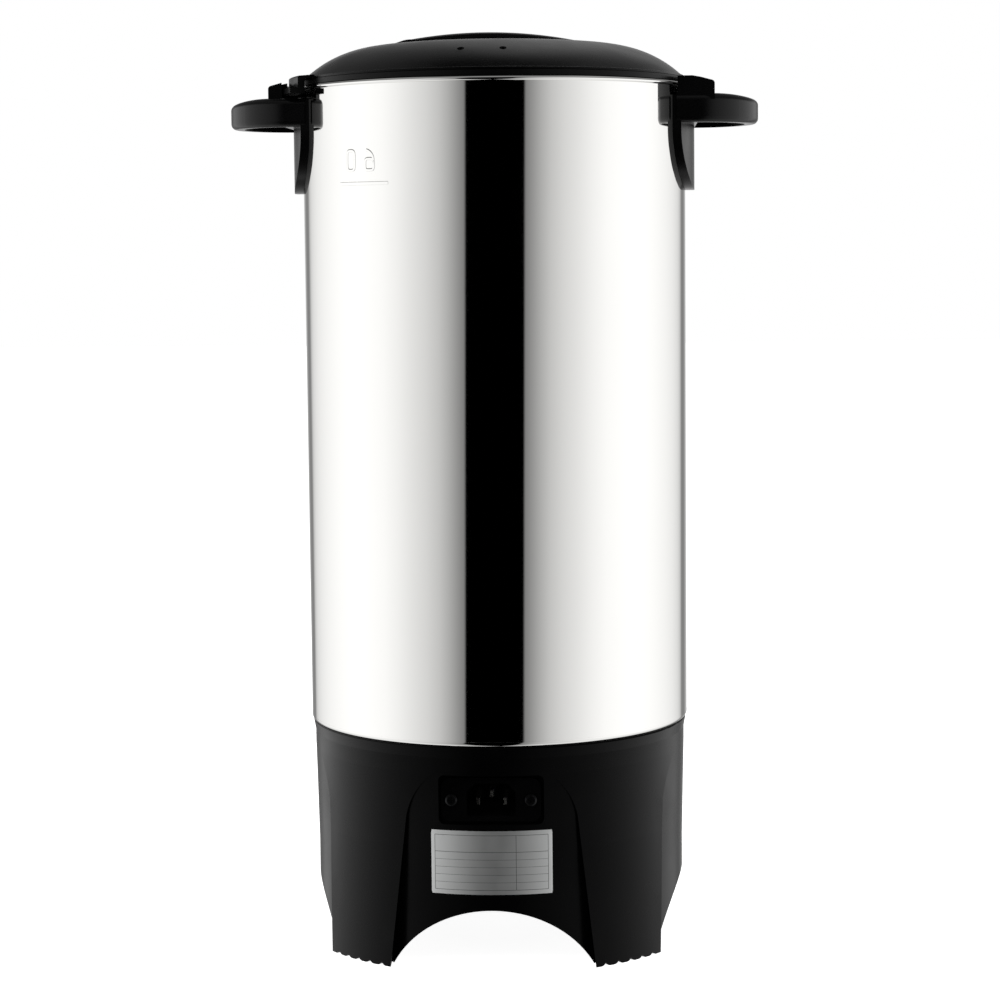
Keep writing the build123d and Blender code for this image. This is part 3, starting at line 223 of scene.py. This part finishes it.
# grain with no direction, of small turned parts and of castings
FINE = (900, 900, 900)
CAST = (700, 700, 700)
FINISHES = {
    "stainless": polished_steel("stainless", (0.93, 0.925, 0.905), 0.04),
    "stainless_small": polished_steel("stainless_small", (0.82, 0.82, 0.81), 0.14),
    "housing_plastic": plastic("housing_plastic", BASE_BLACK, 0.26, grain=0.3, facing=0.08),
    "handle_plastic": plastic("handle_plastic", BLACK, 0.25, grain=0.3, facing=0.5),
    "lid_plastic": plastic("lid_plastic", BLACK, 0.27, grain=0.3, facing=0.12),
    "gloss_black": plastic("gloss_black", BLACK, 0.18, grain=0.15, facing=0.25),
    "nylon": plastic("nylon", (0.72, 0.69, 0.62), 0.4, tone=0.08),
    "silicone": rubber("silicone", (0.002, 0.002, 0.002), 0.34, facing=0.2),
    "zinc": sheet_metal("zinc", (0.58, 0.59, 0.6), 0.3, FINE),
    "blackened_zinc": sheet_metal("blackened_zinc", (0.02, 0.02, 0.021), 0.4, FINE, marks=0.3),
    "nickel": sheet_metal("nickel", (0.72, 0.7, 0.66), 0.25, FINE),
    "fuse_brass": sheet_metal("fuse_brass", (0.75, 0.6, 0.33), 0.3, FINE),
    "cast_aluminium": sheet_metal("cast_aluminium", (0.5, 0.5, 0.51), 0.55, CAST, marks=0.3),
    "aluminium_sheet": sheet_metal("aluminium_sheet", (0.76, 0.77, 0.78), 0.3),
    "element_steel": sheet_metal("element_steel", (0.3, 0.27, 0.25), 0.45, CAST, marks=0.4),
    "lamp_lens": plastic("lamp_lens", (0.6, 0.05, 0.02), 0.15, grain=0.1),
    "wire_sheath": woven("wire_sheath", (0.72, 0.69, 0.6)),
    "clear_tube": clear_plastic("clear_tube", (0.93, 0.97, 0.97)),
}


def dress(node, finish):
    """Give a CAD node its finish."""
    for slot in frame["nodes"][node].material_slots:
        slot.material = FINISHES[finish]


for entry in frame["record"]["subparts"]:
    dress(entry["node"], entry["material_slot"])
dress("inlet_screws", "blackened_zinc")


# ---- helpers for pieces --------------------------------------------------------------------------
def wall_point(radius, turn, height):
    """A point in metres at a radius and a height, turned from straight behind the urn towards +X."""
    return (radius * math.sin(turn) * MM, -radius * math.cos(turn) * MM, height * MM)


def mesh_of(drawn):
    """The finished mesh of a bmesh."""
    data = bpy.data.meshes.new("drawn")
    drawn.to_mesh(data)
    drawn.free()
    return data


def wire_curve(name, wire_radius, roundness):
    """An empty curve whose splines become round wires."""
    curve = bpy.data.curves.new(name, "CURVE")
    curve.dimensions = "3D"
    curve.bevel_depth = wire_radius
    curve.bevel_resolution = roundness
    curve.use_fill_caps = True
    return curve


def mesh_of_curve(curve):
    """The mesh of a curve's wires."""
    drawn = bpy.data.objects.new(curve.name + "_path", curve)
    bpy.context.collection.objects.link(drawn)
    data = bpy.data.meshes.new_from_object(drawn)
    bpy.data.objects.remove(drawn)
    return data


def add_piece(name, data, slot, finish=None):
    """A smooth piece on the urn's own body, with its slot's finish unless it has one of its own."""
    data.name = name
    data.shade_smooth()
    data.materials.clear()
    data.materials.append(finish or FINISHES[slot])
    piece = bpy.data.objects.new(name, data)
    bpy.context.collection.objects.link(piece)
    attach(piece, "urn")
    return piece


# ---- rating label: bare silver foil on the panel under the power inlet ---------------------------
LABEL_HALF_WIDTH = 31.0
LABEL_LOW, LABEL_HIGH = 38.9, 71.5
# the back panel stands upright below a height, and widens above it
PANEL_RADIUS = 97.2
PANEL_UPRIGHT_TO = 50.0
PANEL_WIDENING = 1.1 / 53


def panel_reach(height):
    """Radius of the back panel at a height."""
    return PANEL_RADIUS + PANEL_WIDENING * max(0.0, height - PANEL_UPRIGHT_TO)


def label_foil():
    """Satin silver foil, ruled into bare cells with fine grey lines."""
    left, divider, right = -28.6, 12.4, 28.4
    bottom, middle, top = 41.2, 60.6, 69.2
    cell_rows = 5
    bold, fine = 0.22, 0.14
    ink = (0.05, 0.05, 0.052, 1)

    def build(nodes):
        place = nodes.add("SeparateXYZ", {0: nodes.place()}).outputs

        def between(axis, low, high):
            above = nodes.math("GREATER_THAN", place[axis], low * MM)
            return nodes.math("MULTIPLY", above, nodes.math("LESS_THAN", place[axis], high * MM))

        def upright(at, width):
            """One on an upright line from the bottom to the top of the cells, otherwise nought."""
            on_line = nodes.math("COMPARE", place["X"], at * MM, width * MM / 2)
            return nodes.math("MULTIPLY", on_line, between("Z", bottom, top))

        def level(at, width):
            """One on a level line from the left to the right of the cells, otherwise nought."""
            on_line = nodes.math("COMPARE", place["Z"], at * MM, width * MM / 2)
            return nodes.math("MULTIPLY", on_line, between("X", left, right))

        lines = [upright(at, bold) for at in (left, divider, right)]
        lines += [level(at, bold) for at in (bottom, middle, top)]
        for row in range(1, cell_rows):
            lines.append(level(bottom + row * (middle - bottom) / cell_rows, fine))
        ruled = lines[0]
        for line in lines[1:]:
            ruled = nodes.math("MAXIMUM", ruled, line)
        patches = nodes.noise(scale=55, detail=3)
        foil = nodes.ramp(patches, [(0.3, (0.73, 0.74, 0.735)), (0.7, (0.77, 0.78, 0.775))])
        shade = nodes.mix(ruled, foil, ink)
        metal = nodes.math("SUBTRACT", 1.0, nodes.math("MULTIPLY", ruled, 0.8))
        gloss = nodes.ramp(nodes.noise(scale=140, detail=3), [(0.3, 0.42), (0.7, 0.45)])
        relief = nodes.bump(nodes.noise(scale=900, detail=3), strength=0.25, distance=0.04 * MM)
        return nodes.add(
            "BsdfPrincipled", {"Base Color": shade, "Metallic": metal, "Roughness": gloss, "Normal": relief}
        )

    return material("label_foil", build)


def make_label():
    """A thin sheet bent to the panel, with blunted corners and a turned-down edge."""
    columns, rows = 56, 24
    blunting, thickness, edge_thickness = 0.3, 0.09, 0.01
    drawn = bmesh.new()
    grid = []
    for row in range(rows + 1):
        height = LABEL_LOW + (LABEL_HIGH - LABEL_LOW) * row / rows
        end_row = row in (0, rows)
        reach = LABEL_HALF_WIDTH - (blunting if end_row else 0.0)
        line = []
        for column in range(columns + 1):
            turn = reach * (2 * column / columns - 1) / panel_reach(height)
            on_edge = end_row or column in (0, columns)
            radius = panel_reach(height) + (edge_thickness if on_edge else thickness)
            line.append(drawn.verts.new(wall_point(radius, turn, height)))
        grid.append(line)
    for low, high in zip(grid, grid[1:]):
        for column in range(columns):
            drawn.faces.new((low[column], low[column + 1], high[column + 1], high[column]))
    add_piece("rating_label", mesh_of(drawn), "aluminium_sheet", label_foil())


# ---- level mark: a number and a line pressed outwards from inside the vessel, so they read mirrored ----
MARK_MIDDLE = math.radians(-41.1) + VIEW_AZIMUTH


def pressed_mark(name, paths, ridge, press):
    """Ridges along paths, each a list of points and whether it is closed.

    A point is its way along the wall from the mark's middle, and its height. The ridges are round wires
    of radius ridge, flattened against the wall to press times their thickness.
    """
    curve = wire_curve(name, ridge, roundness=3)
    curve.resolution_u = 10
    for points, closed in paths:
        spline = curve.splines.new("NURBS")
        spline.points.add(len(points) - 1)
        for point, (along, height) in zip(spline.points, points):
            point.co = (along, height, 0, 1)
        spline.order_u = 4 if len(points) > 3 else 2
        spline.use_cyclic_u = closed
        spline.use_endpoint_u = not closed
    data = mesh_of_curve(curve)
    for vertex in data.vertices:
        along, height, rise = vertex.co
        vertex.co = wall_point(VESSEL_RADIUS + press * rise, MARK_MIDDLE + along / VESSEL_RADIUS, height)
    add_piece(name, data, "stainless")


def round_loop(middle, low, waist, high):
    """Control points of a digit's closed loop, with its widest place at the waist."""
    half_width = 2.8
    left, right = middle - half_width, middle + half_width
    left_side = [(middle, low), (left, low), (left, waist), (left, high)]
    return left_side + [(middle, high), (right, high), (right, waist), (right, low)]


def make_level_mark():
    low, high = 401.4, 411.2
    nought = round_loop(-8.0, low, (low + high) / 2, high)
    bowl = round_loop(4.9, low, 404, 407)
    stem = [(7.5, 404), (8.0, 407.6), (6.6, 410.4), (3.0, 411.3)]
    pressed_mark("level_mark_number", [(nought, True), (bowl, True), (stem, False)], ridge=0.8, press=0.15)
    line_height, line_reach = 394.8, 16.4
    line = [(-line_reach, line_height), (line_reach, line_height)]
    pressed_mark("level_mark_line", [(line, False)], ridge=0.9, press=0.06)


# ---- rings: bright skins on the vessel's rolled bead and on the round of its foot ----------------
def steel_ring(name, profile):
    """A closed ring round the urn's axis.

    profile is a loop of radii and heights, which runs upwards on its outer side.
    """
    around = 288
    sharpest_smooth_edge = math.radians(40)
    drawn = bmesh.new()
    rings = []
    for step in range(around):
        turn = 2 * math.pi * step / around
        rings.append([drawn.verts.new(wall_point(radius, turn, height)) for radius, height in profile])
    for step in range(around):
        here, there = rings[step - 1], rings[step]
        for point in range(len(profile)):
            drawn.faces.new((here[point - 1], there[point - 1], there[point], here[point]))
    ring = add_piece(name, mesh_of(drawn), "stainless")
    ring.data.set_sharp_from_angle(angle=sharpest_smooth_edge)


def arc(radius, height, size, start, end, steps):
    """Points on an arc about a radius and a height, between two angles in degrees above level."""
    angles = [math.radians(start + (end - start) * step / steps) for step in range(steps + 1)]
    return [(radius + size * math.cos(angle), height + size * math.sin(angle)) for angle in angles]


def make_rings():
    bead_radius, bead_height, bead_size, bead_skin = 99.85, 444.8, 1.2, 0.04
    full_turn = arc(bead_radius, bead_height, bead_size + bead_skin, 0, 360, 28)
    steel_ring("rolled_rim", full_turn[:-1])
    base_height, corner, corner_skin, corner_depth, band_top = 114.3, 2.2, 0.03, 0.25, 117.0
    lowest_angle = -78
    middle = (VESSEL_RADIUS - corner, base_height + corner)
    outside, inside = corner + corner_skin, corner - corner_depth
    foot = arc(*middle, outside, lowest_angle, 0, 12)
    foot += [(middle[0] + outside, band_top), (middle[0] + inside, band_top)]
    foot += arc(*middle, inside, 0, lowest_angle, 12)
    steel_ring("rounded_foot", foot)


# ---- tap spring: a wound helix from its foot on the stem to its head under the bonnet ------------
def make_spring():
    """A round-wire helix from its foot up to its head, in place of the CAD spring."""
    pitch, coil_radius, wire_radius = 3.5, 4.4, 0.5
    axis_y, foot, head = 145.0, 142.9, 158.0
    steps = 112
    first, last = foot + wire_radius, head - wire_radius
    curve = wire_curve("coil", wire_radius * MM, roundness=2)
    spline = curve.splines.new("POLY")
    spline.points.add(steps)
    for step, point in enumerate(spline.points):
        rise = (last - first) * step / steps
        turn = 2 * math.pi * rise / pitch
        across, along = coil_radius * math.cos(turn), axis_y + coil_radius * math.sin(turn)
        point.co = (across * MM, along * MM, (first + rise) * MM, 1)
    spring = add_piece("wound_spring", mesh_of_curve(curve), "stainless_small")
    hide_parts("tap_spring")
    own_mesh(spring)


make_label()
make_level_mark()
make_rings()
make_spring()


# ---- stage ---------------------------------------------------------------------------------------
# Two long soft boxes stand either side of the camera with a dark gap between them, and lean a little.
# Their light grows away from the gap, falls to a dim strip towards the back, and grows again straight
# behind the object. Stops are degrees from the middle of the gap, and brightness.
SOFTBOX = [
    (0, 0.0),
    (16.94, 0.0),
    (18.04, 0.22),
    (22, 0.31),
    (27, 0.44),
    (33, 0.58),
    (41, 0.71),
    (50, 0.82),
    (60, 0.95),
    (70, 1.05),
    (86, 1.12),
    (100, 1.12),
    (112, 1.06),
    (124, 0.98),
    (134, 0.89),
    (143, 0.76),
    (148, 0.6),
    (152, 0.24),
    (158, 0.22),
    (163, 0.34),
    (168, 0.56),
    (174, 0.74),
    (180, 0.9),
]
BOX_SWING = math.radians(0.14)
BOX_LEAN = math.radians(16.6)
# below this upward part of a direction the boxes stop leaning
LEAN_FLOOR = -0.28
# brightness of the boxes by the upward part of a direction, from straight down to straight up
BY_HEIGHT = [(-1.0, 0.78), (-0.5, 0.86), (-0.24, 1.0), (1.0, 1.0)]
# The ceiling takes over from the boxes through this band of heights. It glows most at the back, a little
# to the right. Stops are degrees from the camera's side, left negative, and brightness.
CEILING_FROM, CEILING_FULL = 0.12, 0.3
CEILING = [
    (-180, 0.64),
    (-172, 0.36),
    (-165, 0.27),
    (-150, 0.21),
    (-90, 0.3),
    (0, 0.3),
    (90, 0.35),
    (145, 0.28),
    (155, 0.38),
    (165, 0.7),
    (173, 0.8),
    (180, 0.64),
]
# brightness of the ceiling by the upward part of a direction
CEILING_BY_HEIGHT = [
    (0.0, 0.5),
    (0.3, 0.55),
    (0.5, 0.68),
    (0.7, 0.9),
    (0.84, 1.0),
    (0.9, 0.75),
    (0.945, 0.12),
    (1.0, 0.02),
]


def softbox_glow(nodes, direction):
    """Brightness by compass direction, counted from the camera's side, and by height."""
    parts = nodes.add("SeparateXYZ", {0: direction}).outputs
    upward = parts["Z"]
    backwards = nodes.math("MULTIPLY", parts["Y"], -1.0)
    compass = nodes.math("ARCTAN2", parts["X"], backwards)
    bearing = nodes.math("SUBTRACT", compass, VIEW_AZIMUTH - BOX_SWING)
    lean = nodes.math("MULTIPLY", nodes.math("MAXIMUM", upward, LEAN_FLOOR), -BOX_LEAN)
    from_gap = nodes.math("ABSOLUTE", nodes.math("ADD", bearing, lean))
    from_gap = nodes.math("DIVIDE", from_gap, math.pi)
    across = nodes.ramp(from_gap, [(stop / 180, glow) for stop, glow in SOFTBOX])
    raised = nodes.math("MULTIPLY_ADD", upward, 0.5, 0.5)
    upwards = nodes.ramp(raised, [((height + 1) / 2, glow) for height, glow in BY_HEIGHT])
    boxes = nodes.math("MULTIPLY", across, upwards)
    round_about = nodes.math("MULTIPLY_ADD", bearing, 0.5 / math.pi, 0.5)
    ceiling_round = nodes.ramp(round_about, [((stop + 180) / 360, glow) for stop, glow in CEILING])
    ceiling = nodes.math("MULTIPLY", ceiling_round, nodes.ramp(upward, CEILING_BY_HEIGHT))
    changeover = nodes.ramp(upward, [(CEILING_FROM, 0.0), (CEILING_FULL, 1.0)])
    return nodes.mix(changeover, boxes, ceiling)


def make_world():
    """White where the camera or a clear piece sees it, and the studio's lights for everything else."""
    world = bpy.data.worlds.new("studio")
    bpy.context.scene.world = world
    world.use_nodes = True
    nodes = Nodes(world.node_tree)
    paths = nodes.add("LightPath").outputs
    direction = nodes.add("TexCoord").outputs["Generated"]
    backdrop = nodes.math("MAXIMUM", paths["Is Camera Ray"], paths["Is Transmission Ray"])
    light = nodes.mix(backdrop, softbox_glow(nodes, direction), grey(1.0))
    nodes.add("OutputWorld", {"Surface": nodes.add("Background", {"Color": light}).outputs[0]})


# what the camera sees of the floor besides its lit paint: brightness by metres from the urn's axis
FLOOR_GLOW = [(0.04, 0.93), (0.11, 0.98), (0.3, 1.0)]


def make_floor():
    """A pale floor with the object's faint shadow, which turns into the white background further off."""

    def build(nodes):
        from_urn = nodes.add("VectorMath", {0: nodes.place()}, operation="LENGTH").outputs["Value"]
        speckle = nodes.ramp(nodes.noise(scale=90, detail=2), [(0.3, 0.86), (0.7, 0.88)])
        paint = nodes.add("BsdfDiffuse", {"Color": speckle})
        glow = nodes.add("Emission", {"Color": nodes.ramp(from_urn, FLOOR_GLOW), "Strength": 1.0})
        lifted = nodes.add("AddShader", {0: paint.outputs[0], 1: glow.outputs[0]})
        seen = nodes.add("LightPath").outputs["Is Camera Ray"]
        return nodes.add("MixShader", {0: seen, 1: paint.outputs[0], 2: lifted.outputs[0]})

    bpy.ops.mesh.primitive_plane_add(size=16)
    floor = bpy.context.object
    floor.name = "floor"
    floor.data.materials.append(material("floor_paint", build))
    floor.visible_glossy = False


def make_lamp(name, place, side, watts):
    """A square soft lamp aimed at the middle of the urn, which no reflection shows."""
    lamp = bpy.data.lights.new(name, "AREA")
    lamp.shape = "RECTANGLE"
    lamp.size, lamp.size_y = side, side
    lamp.energy = watts
    holder = bpy.data.objects.new(name, lamp)
    bpy.context.collection.objects.link(holder)
    holder.location = place
    urn_middle = Vector((0, 0, 0.24))
    holder.rotation_euler = (Vector(place) - urn_middle).to_track_quat("Z", "Y").to_euler()
    holder.visible_glossy = False


def make_camera():
    """The camera, whose distance from the urn's axis, height and tilts were fitted to the photograph."""
    distance, height = 1.3999, 0.3657
    picture_width = 1000
    focal_length = 2645.69  # pixels
    aim_offset = 2.36  # pixels
    pan = aim_offset / focal_length
    pitch = 0.0976
    roll = math.radians(0.573)
    data = bpy.data.cameras.new("camera")
    data.lens = data.sensor_width * focal_length / picture_width
    camera = bpy.data.objects.new("camera", data)
    bpy.context.collection.objects.link(camera)
    camera.location = (distance * math.sin(VIEW_AZIMUTH), -distance * math.cos(VIEW_AZIMUTH), height)
    heading = Matrix.Rotation(VIEW_AZIMUTH - pan, 4, "Z")
    tilt = Matrix.Rotation(math.pi / 2 - pitch, 4, "X")
    camera.rotation_euler = (heading @ tilt @ Matrix.Rotation(-roll, 4, "Z")).to_euler()
    bpy.context.scene.camera = camera


make_world()
make_floor()
make_lamp("key", (-1.3, -1.1, 1.5), side=0.9, watts=14)
make_lamp("fill", (1.5, -0.7, 1.2), side=0.9, watts=9)
make_lamp("top", (0.0, 0.4, 1.9), side=1.0, watts=9)
make_camera()
bpy.context.scene.view_settings.view_transform = "Standard"
